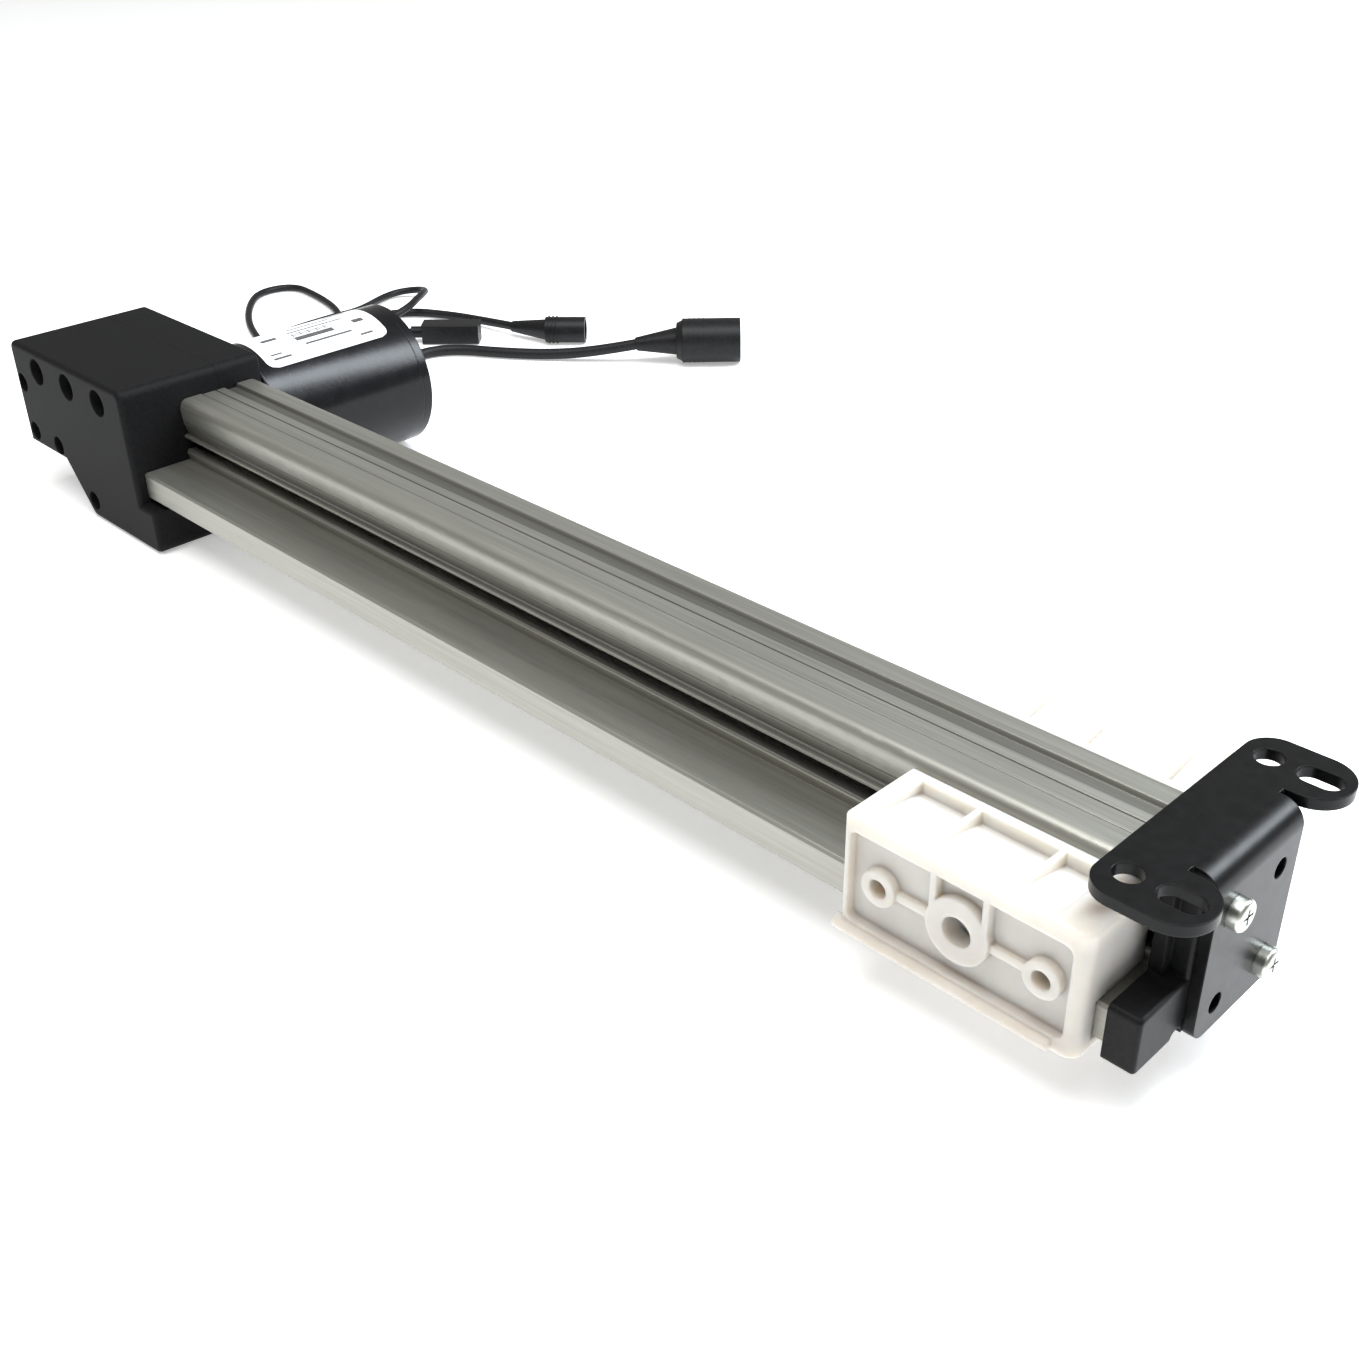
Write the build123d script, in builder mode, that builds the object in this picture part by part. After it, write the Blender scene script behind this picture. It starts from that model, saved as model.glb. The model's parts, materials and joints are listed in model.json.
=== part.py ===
from build123d import *
import math
import os

# Linear actuator with a sliding carriage on a fixed rail, in millimetres.
# +X runs along the rail towards the end bracket, +Y towards the motor, +Z up.
# The origin is on the floor, under the rail's centre line, at the gearbox's front face.

# ---------------------------------------------------------------- driving dimensions
rail_bottom = 19.0
rail_height = 34.0
rail_start = -3.0
rail_end = 416.7
rail_half_width = 17.0
flange_half_width = 36.0
flange_height = 10.4
rail_wall = 2.4

spindle_z = 43.5
spindle_radius = 6.0

motor_x = -20.5
motor_z = 29.5
motor_radius = 29.2
motor_end = 92.7

gear_module = 1.0
wheel_teeth = 20
worm_pitch_radius = 4.0
wheel_pitch_radius = gear_module * wheel_teeth / 2
mesh_gap = 0.25

housing_top = 62.0
housing_near = -40.4
housing_far = 19.25
housing_back = -88.5
housing_wall = 2.8
ledge_front = 10.0

pivot_x = 379.8
pivot_z = 33.2
pivot_bore_radius = 4.1
side_hole_spacing = 45.3
slider_left = 346.5
slider_right = 413.0
slider_half_width = 42.5
slider_top = 50.5
slider_bottom = 16.0
slide_gap = 0.35

sheet = 3.0
cap_front = 424.9
bracket_top = 60.9
bracket_hole_x = 412.5
bracket_hole_y = 30.0
bracket_hole_radius = 3.6
slot_x = 425.0
slot_length = 11.0
screw_y = 10.3
screw_z_low = 21.8
screw_z_high = 48.0

rail_top = rail_bottom + rail_height
flange_top = rail_bottom + flange_height
fit_gap = 0.05

os.makedirs("parts", exist_ok=True)


def save(part, name):
    """Label a finished sub-part and write it as one STEP file."""
    part.label = name
    export_step(part, f"parts/{name}.step")


def across(x):
    """Cross-section plane of the rail: local x is Y and local y is Z."""
    return Plane.YZ.offset(x)


def along_motor(y):
    """Plane square to the motor shaft, looking along +Y from the motor's centre line."""
    return Plane(origin=(motor_x, y, motor_z), x_dir=(-1, 0, 0), z_dir=(0, 1, 0))


# ---------------------------------------------------------------- rail
groove_low = rail_bottom + 14.4
groove_high = rail_bottom + 19.2
channel_floor = rail_bottom + 12.0
channel_top = rail_top - rail_wall
channel_half_width = rail_half_width - 3.6
channel_middle = (channel_floor + channel_top) / 2
blind_groove_depth = 2.6
top_flat_half_width = 13.6
chamber_height = flange_height - 4.4
chamber_z = rail_bottom + flange_height / 2
outer_chamber = (14.5, flange_half_width - rail_wall)
centre_chamber_half_width = 6.5
screw_core_radius = 2.1
screw_boss_radius = 3.6
screw_places = [(y, z) for y in (screw_y, -screw_y) for z in (screw_z_low, screw_z_high)]

# Half outline from the top edge down to the underside, first the curved flank.
flank_curve = [
    (top_flat_half_width, rail_top),
    (rail_half_width - 1.4, rail_top - 0.6),
    (rail_half_width - 0.3, rail_top - 2.2),
    (rail_half_width, rail_top - 5.0),
    (rail_half_width - 0.4, rail_top - 9.0),
    (rail_half_width - 1.4, rail_top - 12.8),
]
flank_steps = [
    flank_curve[-1],
    (rail_half_width - 1.2, rail_top - 13.5),
    (rail_half_width + 0.2, rail_top - 13.8),
    (rail_half_width + 0.2, groove_high),
    (rail_half_width - blind_groove_depth, groove_high),
    (rail_half_width - blind_groove_depth, groove_low),
    (rail_half_width, groove_low),
    (rail_half_width, groove_low - 0.8),
    (rail_half_width + 0.35, groove_low - 1.1),
    (rail_half_width + 0.35, groove_low - 2.2),
    (rail_half_width, groove_low - 2.5),
    (rail_half_width, flange_top),
    (flange_half_width - 0.8, flange_top),
    (flange_half_width, flange_top - 0.8),
    (flange_half_width, rail_bottom + 0.8),
    (flange_half_width - 0.8, rail_bottom),
    (0.0, rail_bottom),
]
# Top of the rail from the far edge to the near edge: a channel and two scored lines.
top_line = [
    (top_flat_half_width, rail_top),
    (8.0, rail_top),
    (7.2, rail_top - 1.4),
    (3.0, rail_top - 1.4),
    (2.3, rail_top - 0.3),
    (-0.95, rail_top - 0.3),
    (-1.3, rail_top - 0.9),
    (-1.65, rail_top - 0.3),
    (-6.85, rail_top - 0.3),
    (-7.2, rail_top - 0.9),
    (-7.55, rail_top),
    (-top_flat_half_width, rail_top),
]

with BuildSketch() as rail_profile:
    with BuildLine():
        Polyline(*top_line)
        for side in (1, -1):
            Spline(*[(side * y, z) for y, z in flank_curve], tangents=[(side, 0), (-0.3 * side, -1)])
            Polyline(*[(side * y, z) for y, z in flank_steps])
    make_face()
flange_notch_end = motor_x + motor_radius + 1.7

with BuildPart() as rail:
    with BuildSketch(across(rail_start)):
        add(rail_profile.sketch)
        with Locations((0, channel_middle)):
            Rectangle(2 * channel_half_width, channel_top - channel_floor, mode=Mode.SUBTRACT)
        with Locations((-rail_half_width, (groove_low + groove_high) / 2)):
            Rectangle(2 * (rail_half_width - channel_half_width) + 1, groove_high - groove_low,
                      mode=Mode.SUBTRACT)
        chamber_y = sum(outer_chamber) / 2
        with Locations((chamber_y, chamber_z), (-chamber_y, chamber_z)):
            Rectangle(outer_chamber[1] - outer_chamber[0], chamber_height, mode=Mode.SUBTRACT)
        with Locations((0, chamber_z)):
            Rectangle(2 * centre_chamber_half_width, chamber_height, mode=Mode.SUBTRACT)
        with Locations((screw_y, screw_z_high), (-screw_y, screw_z_high)):
            Circle(screw_boss_radius)
        with Locations(*screw_places):
            Circle(screw_core_radius, mode=Mode.SUBTRACT)
    extrude(amount=rail_end - rail_start)
    # The far flange stops short of the motor.
    with BuildSketch(Plane.XY.offset(rail_bottom - 1)):
        with Locations(((rail_start - 1 + flange_notch_end) / 2, rail_half_width + 12.0)):
            Rectangle(flange_notch_end - rail_start + 1, 24)
    extrude(amount=flange_height + 1.5, mode=Mode.SUBTRACT)
save(rail.part, "rail")

# ---------------------------------------------------------------- gearbox housing
housing_outline = [
    (housing_back, 19.2),
    (-58.7, 19.2),
    (-42.6, 0.0),
    (ledge_front, 0.0),
    (ledge_front, 17.4),
    (0.0, 17.4),
    (0.0, housing_top),
    (housing_back, housing_top),
]
wide_pillars = [(-67.5, 53.6), (-43.0, 53.6)]
short_pillar = (-18.5, 53.6)
slim_pillars = [(-83.4, 45.5), (-81.8, 25.3), (-62.3, 24.2), (-39.6, 7.4)]
long_pillars = wide_pillars + slim_pillars
pillar_radius = 6.4
slim_pillar_radius = 4.8
counterbore_radius = 5.2
slim_counterbore_radius = 3.8
counterbore_depth = 9.0
housing_screw_radius = 1.9
front_bearing_x = (-12.6, -4.6)
rear_bearing_x = (-40.0, -34.0)
front_bearing_radius = 14.0
rear_bearing_radius = 9.5
journal_radius = 4.0
bulkhead_lip = 1.6
wheel_space_radius = 12.2
wheel_space_x = (-26.5, -14.5)
tongue_x = (-24.5, -14.7)
tongue_z = (55.9, 59.0)
tongue_end = -24.0
tongue_boss_end = -16.2
worm_bush_radius = 5.5
worm_bush_y = (-22.0, -16.0)
shaft_radius = 2.5
shaft_hole_radius = 6.0
motor_screw_places = [(-27.3, 44.0), (-13.7, 15.0)]
motor_screw_radius = 1.95
board_post_places = [(-71.0, 40.6), (-52.0, 40.6)]
board_y = (-20.0, -18.4)
cable_exit_z = 36.6
cable_exit_x = {"link": -80.0, "handset": -69.5, "supply": -58.0}
boot_root_radius = 3.0


def housing_profile(inset=0.0):
    """Side outline of the gearbox on the current sketch, drawn a wall's thickness in."""
    Polygon(*housing_outline, align=None)
    if inset:
        offset(amount=-inset, kind=Kind.INTERSECTION, mode=Mode.REPLACE)


def shell_body(depth, side, wide):
    """Hollow half of the gearbox with its screw pillars; side is +1 for near, -1 for far."""
    with BuildPart() as shell:
        with BuildSketch(Plane.XZ):
            housing_profile()
        extrude(amount=depth * side)
        fillet(shell.edges().filter_by(Axis.Y).group_by(Axis.Z)[0], 4.0)
        fillet(shell.edges().filter_by(Axis.Y).group_by(Axis.Z)[-1], 3.2)
        fillet(shell.faces().sort_by(Axis.Y)[0 if side > 0 else -1].edges(), 2.0)
        with BuildSketch(Plane.XZ):
            housing_profile(housing_wall)
        extrude(amount=(depth - housing_wall) * side, mode=Mode.SUBTRACT)
        with BuildSketch(Plane.XZ):
            with Locations(*wide):
                Circle(pillar_radius)
            with Locations(*slim_pillars):
                Circle(slim_pillar_radius)
        extrude(amount=(depth - 1.0) * side)
        # Bulkheads round the two spindle bearings.
        for low, high in (front_bearing_x, rear_bearing_x):
            with BuildSketch(across(low - bulkhead_lip)):
                with Locations((-8.0 * side, 39.0)):
                    Rectangle(16.0, 41.0)
            extrude(amount=high - low + 2 * bulkhead_lip)
    return shell.part


with BuildPart() as spindle_space:
    for low, high, radius in (
        (*front_bearing_x, front_bearing_radius),
        (*rear_bearing_x, rear_bearing_radius),
        (*wheel_space_x, wheel_space_radius),
        (rear_bearing_x[0] - 4.0, rail_start, spindle_radius + 1.0),
    ):
        with BuildSketch(across(low)):
            with Locations((0, spindle_z)):
                Circle(radius)
        extrude(amount=high - low)
    # Socket for the end of the rail.
    with BuildSketch(across(rail_start)):
        add(rail_profile.sketch)
        with Locations((rail_half_width + flange_half_width / 2, chamber_z)):
            Rectangle(flange_half_width, flange_height + 1.0, mode=Mode.SUBTRACT)
    extrude(amount=0.01 - rail_start)

with BuildPart() as housing_near_shell:
    add(shell_body(-housing_near, 1, wide_pillars))
    with BuildSketch(Plane.XZ.offset(-tongue_end + 0.2)):
        with Locations(short_pillar):
            Circle(pillar_radius)
    extrude(amount=tongue_end - 0.2 - housing_near - 1.0)
    with BuildSketch(Plane.XZ.offset(-worm_bush_y[1])):
        with Locations((motor_x, motor_z)):
            Circle(worm_bush_radius + 2.5)
    extrude(amount=worm_bush_y[1] - housing_near - 1.0)
    with BuildSketch(Plane.XZ.offset(-board_y[0])):
        with Locations(*board_post_places):
            Circle(2.0)
    extrude(amount=board_y[0] - housing_near - 1.0)
    add(spindle_space.part, mode=Mode.SUBTRACT)
    with BuildSketch(Plane.XZ.offset(-worm_bush_y[1])):
        with Locations((motor_x, motor_z)):
            Circle(worm_bush_radius)
    extrude(amount=worm_bush_y[1] - worm_bush_y[0] + 1.0, mode=Mode.SUBTRACT)
    with BuildSketch(Plane.XZ.offset(-housing_near)):
        with Locations(*wide_pillars, short_pillar):
            Circle(counterbore_radius)
        with Locations(*slim_pillars):
            Circle(slim_counterbore_radius)
    extrude(amount=-counterbore_depth, mode=Mode.SUBTRACT)
    with BuildSketch(Plane.XZ.offset(-housing_near)):
        with Locations(*long_pillars, short_pillar):
            Circle(housing_screw_radius + 0.3)
    extrude(amount=housing_near, mode=Mode.SUBTRACT)
save(housing_near_shell.part, "housing_near_shell")

with BuildPart() as housing_far_shell:
    add(shell_body(housing_far, -1, wide_pillars + [short_pillar]))
    # A tongue reaches over the worm wheel to take the front upper screw.
    with BuildSketch(Plane.XZ.offset(-housing_far + 1.0)):
        with Locations((sum(tongue_x) / 2, sum(tongue_z) / 2)):
            Rectangle(tongue_x[1] - tongue_x[0], tongue_z[1] - tongue_z[0])
    extrude(amount=housing_far - 1.0 - tongue_end)
    with BuildSketch(Plane.XZ.offset(-tongue_boss_end)):
        with Locations(short_pillar):
            Circle(pillar_radius - 1.2)
    extrude(amount=tongue_boss_end - tongue_end)
    add(spindle_space.part, mode=Mode.SUBTRACT)
    with BuildSketch(Plane.XZ):
        with Locations(*long_pillars):
            Circle(housing_screw_radius + 0.02)
    extrude(amount=-12.0, mode=Mode.SUBTRACT)
    with BuildSketch(Plane.XZ.offset(-tongue_end)):
        with Locations(short_pillar):
            Circle(housing_screw_radius + 0.02)
    extrude(amount=tongue_end, mode=Mode.SUBTRACT)
    with BuildSketch(Plane.XZ):
        with Locations((motor_x, motor_z)):
            Circle(shaft_hole_radius)
        with Locations(*motor_screw_places):
            Circle(motor_screw_radius + 0.2)
        with Locations(*[(x, cable_exit_z) for x in cable_exit_x.values()]):
            Circle(boot_root_radius)
    extrude(amount=-housing_far, mode=Mode.SUBTRACT)
save(housing_far_shell.part, "housing_far_shell")


def screw(head_radius, head_height, shank_radius, length):
    """Pan-head screw along Z: the head sits above z = 0 and the shank hangs below."""
    with BuildPart() as fastener:
        with BuildSketch(Plane.XY):
            Circle(head_radius)
        extrude(amount=head_height)
        fillet(fastener.edges().group_by(Axis.Z)[-1], head_height * 0.3)
        with BuildSketch(Plane.XY):
            Circle(shank_radius)
        extrude(amount=-length)
        chamfer(fastener.edges().group_by(Axis.Z)[0], shank_radius * 0.3)
        with BuildSketch(Plane.XY.offset(head_height)):
            Rectangle(head_radius * 1.1, head_radius * 0.22)
            Rectangle(head_radius * 0.22, head_radius * 1.1)
        extrude(amount=-head_height * 0.45, mode=Mode.SUBTRACT)
    return fastener.part


housing_screw_seat = housing_near + counterbore_depth
wide_screw = screw(4.2, 3.0, housing_screw_radius, 10.0 - housing_screw_seat)
slim_screw = screw(3.4, 2.6, housing_screw_radius, 10.0 - housing_screw_seat)
short_screw = screw(4.2, 3.0, housing_screw_radius, -17.0 - housing_screw_seat)
with BuildPart() as housing_screws:
    seat = Plane.XZ.offset(-housing_screw_seat)
    with Locations(*[seat * Location((x, z, 0)) for x, z in wide_pillars]):
        add(wide_screw)
    with Locations(*[seat * Location((x, z, 0)) for x, z in slim_pillars]):
        add(slim_screw)
    with Locations(seat * Location((*short_pillar, 0))):
        add(short_screw)
save(housing_screws.part, "housing_screws")

# ---------------------------------------------------------------- bearings and bushes


def ring(plane, centre, outer, bore, length, groove=0.0):
    """Plain ring on a plane, with a shallow groove round both faces if asked for."""
    with BuildPart() as body:
        with BuildSketch(plane):
            with Locations(centre):
                Circle(outer)
                Circle(bore, mode=Mode.SUBTRACT)
        extrude(amount=length)
        if groove:
            middle = (outer + bore) / 2
            for face_plane, depth in ((plane, groove), (plane.offset(length), -groove)):
                with BuildSketch(face_plane):
                    with Locations(centre):
                        Circle(middle + 1.4)
                        Circle(middle - 1.4, mode=Mode.SUBTRACT)
                extrude(amount=depth, mode=Mode.SUBTRACT)
    return body.part


spindle_centre = (0, spindle_z)
front_bearing = ring(across(front_bearing_x[0]), spindle_centre, front_bearing_radius,
                     spindle_radius + fit_gap, front_bearing_x[1] - front_bearing_x[0], 0.6)
save(front_bearing, "front_bearing")
rear_bearing = ring(across(rear_bearing_x[0]), spindle_centre, rear_bearing_radius,
                    journal_radius + fit_gap, rear_bearing_x[1] - rear_bearing_x[0], 0.5)
save(rear_bearing, "rear_bearing")
end_bush_x = (417.0, 423.0)
end_bush_radius = 7.0
spindle_end_bush = ring(across(end_bush_x[0]), spindle_centre, end_bush_radius,
                        journal_radius + fit_gap, end_bush_x[1] - end_bush_x[0])
save(spindle_end_bush, "spindle_end_bush")
worm_bush = ring(along_motor(worm_bush_y[0]), (0, 0), worm_bush_radius,
                 shaft_radius + fit_gap, worm_bush_y[1] - worm_bush_y[0])
save(worm_bush, "worm_bush")

# ---------------------------------------------------------------- spindle and worm wheel
spindle_start = -41.0
spindle_shoulder = 412.0
spindle_end = 422.5
wheel_x = (-24.5, -16.5)
hub_start = -29.5
wheel_pin_x = -27.2
wheel_pin_radius = 1.2
wheel_pin_half_length = 7.6
hub_radius = 8.0

with BuildPart() as spindle:
    with BuildSketch(across(spindle_start)):
        with Locations(spindle_centre):
            Circle(journal_radius)
    extrude(amount=spindle_end - spindle_start)
    with BuildSketch(across(rear_bearing_x[1])):
        with Locations(spindle_centre):
            Circle(spindle_radius)
    extrude(amount=spindle_shoulder - rear_bearing_x[1])
    chamfer(spindle.edges().filter_by(GeomType.CIRCLE).sort_by(Axis.X)[0], 0.6)
    chamfer(spindle.edges().filter_by(GeomType.CIRCLE).sort_by(Axis.X)[-1], 0.6)
    with BuildSketch(Plane.XY.offset(spindle_z - wheel_pin_half_length)):
        with Locations((wheel_pin_x, 0)):
            Circle(wheel_pin_radius)
    extrude(amount=2 * wheel_pin_half_length, mode=Mode.SUBTRACT)
save(spindle.part, "spindle")

with BuildPart() as worm_wheel:
    root_radius = wheel_pitch_radius - gear_module - mesh_gap
    tip_radius = wheel_pitch_radius + gear_module
    wheel_plane = Plane(origin=(wheel_x[0], 0, spindle_z), x_dir=(0, 0, -1), z_dir=(1, 0, 0))
    with BuildSketch(wheel_plane):
        Circle(root_radius)
        with PolarLocations(0, wheel_teeth):
            Polygon((root_radius - 0.3, -0.85), (tip_radius, -0.38),
                    (tip_radius, 0.38), (root_radius - 0.3, 0.85), align=None)
        Circle(spindle_radius, mode=Mode.SUBTRACT)
    extrude(amount=wheel_x[1] - wheel_x[0])
    with BuildSketch(wheel_plane.offset(hub_start - wheel_x[0])):
        Circle(hub_radius)
        Circle(spindle_radius, mode=Mode.SUBTRACT)
    extrude(amount=wheel_x[0] - hub_start)
    with BuildSketch(Plane.XY.offset(spindle_z - hub_radius - 1)):
        with Locations((wheel_pin_x, 0)):
            Circle(wheel_pin_radius)
    extrude(amount=2 * hub_radius + 2, mode=Mode.SUBTRACT)
save(worm_wheel.part, "worm_wheel")

with BuildPart() as wheel_pin:
    with BuildSketch(Plane.XY.offset(spindle_z - wheel_pin_half_length)):
        with Locations((wheel_pin_x, 0)):
            Circle(wheel_pin_radius)
    extrude(amount=2 * wheel_pin_half_length)
    chamfer(wheel_pin.edges().filter_by(GeomType.CIRCLE), 0.3)
save(wheel_pin.part, "wheel_pin")

# ---------------------------------------------------------------- motor
can_wall = 1.8
can_face = 19.35
can_end = 88.0
pilot_start = 16.8
armature_y = (32.0, 66.0)
armature_radius = 17.0
magnet_y = (30.0, 68.0)
magnet_inner = 17.9
magnet_angle = 128.0
commutator_y = (70.0, 80.0)
commutator_radius = 9.5
brush_plate_y = (81.0, 83.0)
brush_y = (72.0, 78.0)
rear_bush_radius = 6.0
rear_bush_y = (85.0, 91.0)
worm_turns = 5
shaft_start = -22.5
shaft_end = 90.6

with BuildPart() as motor_can:
    with BuildSketch(along_motor(can_face)):
        Circle(motor_radius)
    extrude(amount=can_end - can_face)
    fillet(motor_can.edges().group_by(Axis.Y)[0], 1.2)
    with BuildSketch(along_motor(can_face + 2.0)):
        Circle(motor_radius - can_wall)
    extrude(amount=can_end - can_face, mode=Mode.SUBTRACT)
    with BuildSketch(along_motor(pilot_start)):
        Circle(shaft_hole_radius - fit_gap)
    extrude(amount=can_face + 1.0 - pilot_start)
    with BuildSketch(along_motor(pilot_start)):
        Circle(shaft_radius + fit_gap)
    extrude(amount=can_face + 2.0 - pilot_start, mode=Mode.SUBTRACT)
    with BuildSketch(along_motor(can_face)):
        with Locations(*[(motor_x - x, z - motor_z) for x, z in motor_screw_places]):
            Circle(motor_screw_radius)
    extrude(amount=2.0, mode=Mode.SUBTRACT)
save(motor_can.part, "motor_can")

with BuildPart() as motor_end_cap:
    with BuildSketch(along_motor(can_end)):
        Circle(motor_radius)
    extrude(amount=motor_end - 0.9 - can_end)
    with BuildSketch(along_motor(can_end)):
        Circle(motor_radius - 2.2)
    extrude(amount=motor_end - can_end)
    fillet(motor_end_cap.edges().group_by(Axis.Y)[-1], 0.6)
    with BuildSketch(along_motor(can_end - 2.0)):
        Circle(motor_radius - can_wall - fit_gap)
    extrude(amount=2.0)
    with BuildSketch(along_motor(rear_bush_y[0])):
        Circle(rear_bush_radius + 2.5)
    extrude(amount=can_end - rear_bush_y[0])
    with BuildSketch(along_motor(rear_bush_y[0])):
        Circle(rear_bush_radius)
    extrude(amount=rear_bush_y[1] - rear_bush_y[0], mode=Mode.SUBTRACT)
save(motor_end_cap.part, "motor_end_cap")

motor_bush = ring(along_motor(rear_bush_y[0]), (0, 0), rear_bush_radius,
                  shaft_radius + fit_gap, rear_bush_y[1] - rear_bush_y[0])
save(motor_bush, "motor_bush")

motor_screw = screw(3.4, 2.4, motor_screw_radius, 4.6)
with BuildPart() as motor_screws:
    seat = Plane.XZ.offset(-(housing_far - housing_wall))
    with Locations(*[seat * Location((x, z, 0)) for x, z in motor_screw_places]):
        add(motor_screw)
save(motor_screws.part, "motor_screws")

with BuildPart() as motor_magnets:
    with BuildSketch(along_motor(magnet_y[0])):
        Circle(motor_radius - can_wall)
        Circle(magnet_inner, mode=Mode.SUBTRACT)
        gap_height = 2 * magnet_inner * math.cos(math.radians(magnet_angle / 2))
        Rectangle(3 * motor_radius, gap_height, mode=Mode.SUBTRACT)
    extrude(amount=magnet_y[1] - magnet_y[0])
save(motor_magnets.part, "motor_magnets")

with BuildPart() as armature_core:
    slots = 12
    with BuildSketch(along_motor(armature_y[0])):
        Circle(armature_radius)
        Circle(shaft_radius, mode=Mode.SUBTRACT)
        with PolarLocations(armature_radius - 3.2, slots):
            Circle(2.2, mode=Mode.SUBTRACT)
        with PolarLocations(armature_radius - 0.8, slots):
            Rectangle(2.4, 1.4, mode=Mode.SUBTRACT)
    extrude(amount=armature_y[1] - armature_y[0])
save(armature_core.part, "armature_core")

with BuildPart() as commutator:
    bars = 12
    with BuildSketch(along_motor(commutator_y[0])):
        Circle(commutator_radius)
        Circle(shaft_radius, mode=Mode.SUBTRACT)
        with PolarLocations(commutator_radius, bars):
            Rectangle(2.0, 0.5, mode=Mode.SUBTRACT)
    extrude(amount=commutator_y[1] - commutator_y[0])
save(commutator.part, "commutator")

with BuildPart() as brush_plate:
    with BuildSketch(along_motor(brush_plate_y[0])):
        Circle(motor_radius - can_wall)
        Circle(rear_bush_radius + 3.0, mode=Mode.SUBTRACT)
    extrude(amount=brush_plate_y[1] - brush_plate_y[0])
    # Sleeves that guide the two brushes.
    with BuildSketch(along_motor(brush_y[0] - 1.0)):
        with Locations((17.0, 0), (-17.0, 0)):
            Rectangle(9.0, 8.0)
            Rectangle(9.0, 5.0, mode=Mode.SUBTRACT)
    extrude(amount=brush_plate_y[0] - brush_y[0] + 1.0)
save(brush_plate.part, "brush_plate")

with BuildPart() as brushes:
    with BuildSketch(along_motor(brush_y[0])):
        reach = 18.0 - commutator_radius - 0.3
        brush_centre = commutator_radius + 0.3 + reach / 2
        with Locations((brush_centre, 0), (-brush_centre, 0)):
            Rectangle(reach, 5.0)
    extrude(amount=brush_y[1] - brush_y[0])
save(brushes.part, "brushes")

worm_pitch = math.pi * gear_module
worm_length = worm_turns * worm_pitch
worm_root = worm_pitch_radius - gear_module - mesh_gap
worm_tip = worm_pitch_radius + gear_module

with BuildPart() as worm_thread:
    with BuildLine():
        thread_path = Helix(pitch=worm_pitch, height=worm_length, radius=worm_root)
    with BuildSketch(Plane(origin=thread_path @ 0, x_dir=(1, 0, 0), z_dir=thread_path % 0)):
        Polygon((-0.2, -0.75), (worm_tip - worm_root, -0.35),
                (worm_tip - worm_root, 0.35), (-0.2, 0.75), align=None)
    sweep(path=thread_path, is_frenet=True)

with BuildPart() as worm_shaft:
    with BuildSketch(along_motor(shaft_start)):
        Circle(shaft_radius)
    extrude(amount=shaft_end - shaft_start)
    with BuildSketch(along_motor(-worm_length / 2 - 1.5)):
        Circle(worm_root)
    extrude(amount=worm_length + 3.0)
    # The thread starts facing the wheel, half a pitch off a tooth.
    thread_plane = Plane(origin=(motor_x, -worm_length / 2, motor_z),
                         x_dir=(0, 0, 1), z_dir=(0, 1, 0))
    with Locations(thread_plane.location):
        add(worm_thread.part)
save(worm_shaft.part, "worm_shaft")

# ---------------------------------------------------------------- slider
cheek_inner = flange_half_width + 0.4
block_inner = rail_half_width + 0.65
block_bottom = flange_top + slide_gap
base_top = rail_bottom - 0.4
pocket_inner = 20.3
pocket_outer = 40.6
pocket_floor = 46.8
pocket_edges = [351.2, 368.7, 391.6, 404.0]
rib_width = 1.5
recess_x = (348.2, 409.5)
recess_z = (19.6, 46.0)
recess_side_depth = 2.8
pivot_boss_radius = 8.6
small_boss_radius = 4.8
small_hole_radius = 2.6
small_boss_z = 33.0
small_boss_x = (pivot_x - side_hole_spacing / 2, pivot_x + side_hole_spacing / 2)
lip_flare = 1.7
lip_top = 19.4

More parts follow.
